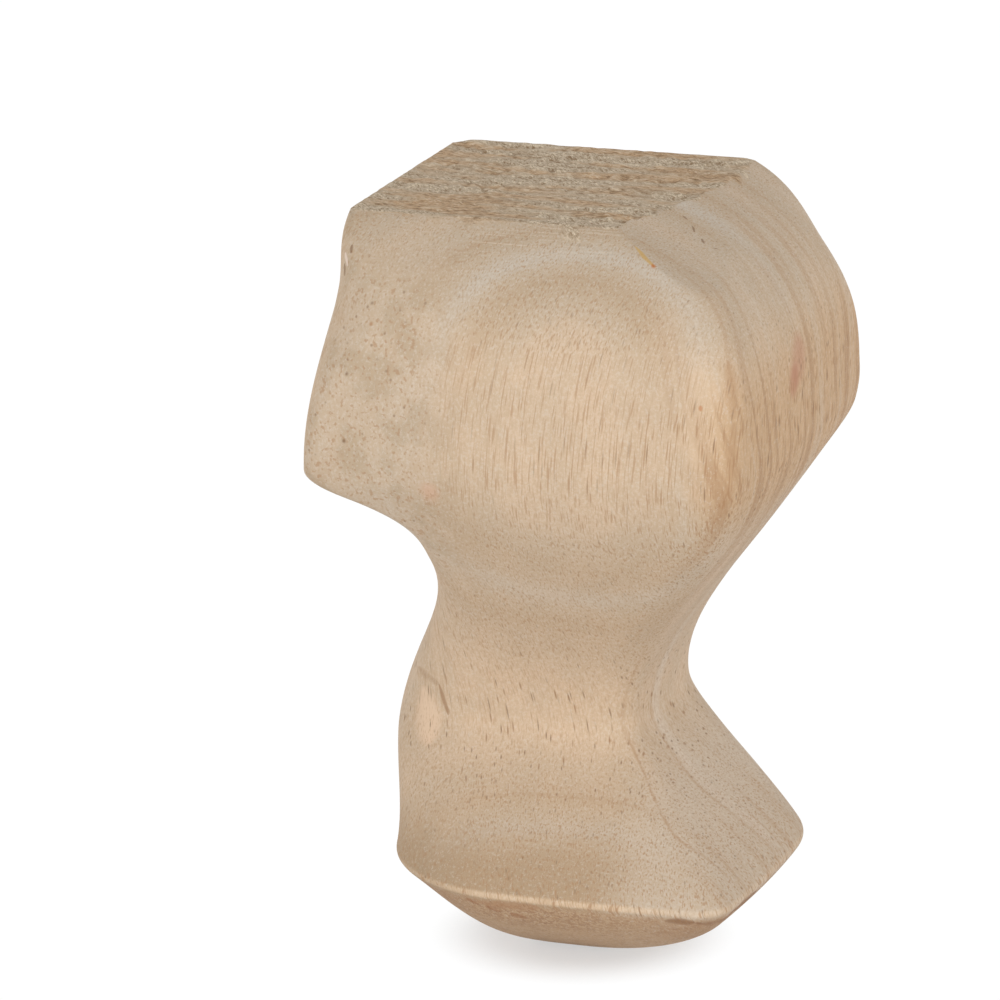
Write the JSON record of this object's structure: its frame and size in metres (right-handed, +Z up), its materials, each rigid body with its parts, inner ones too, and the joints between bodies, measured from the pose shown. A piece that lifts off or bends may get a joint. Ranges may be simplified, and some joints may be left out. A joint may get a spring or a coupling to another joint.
{
  "type": "furniture leg",
  "caption": "Short carved wooden furniture leg: square post, swelling knee with drooping wings, slim ankle, and a pad foot rolled under to a small sole.",
  "frame": {"origin": "middle of the flat sole, on the ground", "axes": "+Z up to the sawn top; the two outer, swelling sides face +X and -Y, and the two inner sides face -X and +Y"},
  "size_m": [0.0593, 0.0593, 0.1],
  "materials": {
    "rubber_wood": "raw, sanded, unvarnished"
  },
  "bodies": {
    "root": {"leg": "rubber_wood"}
  },
  "joints": []
}
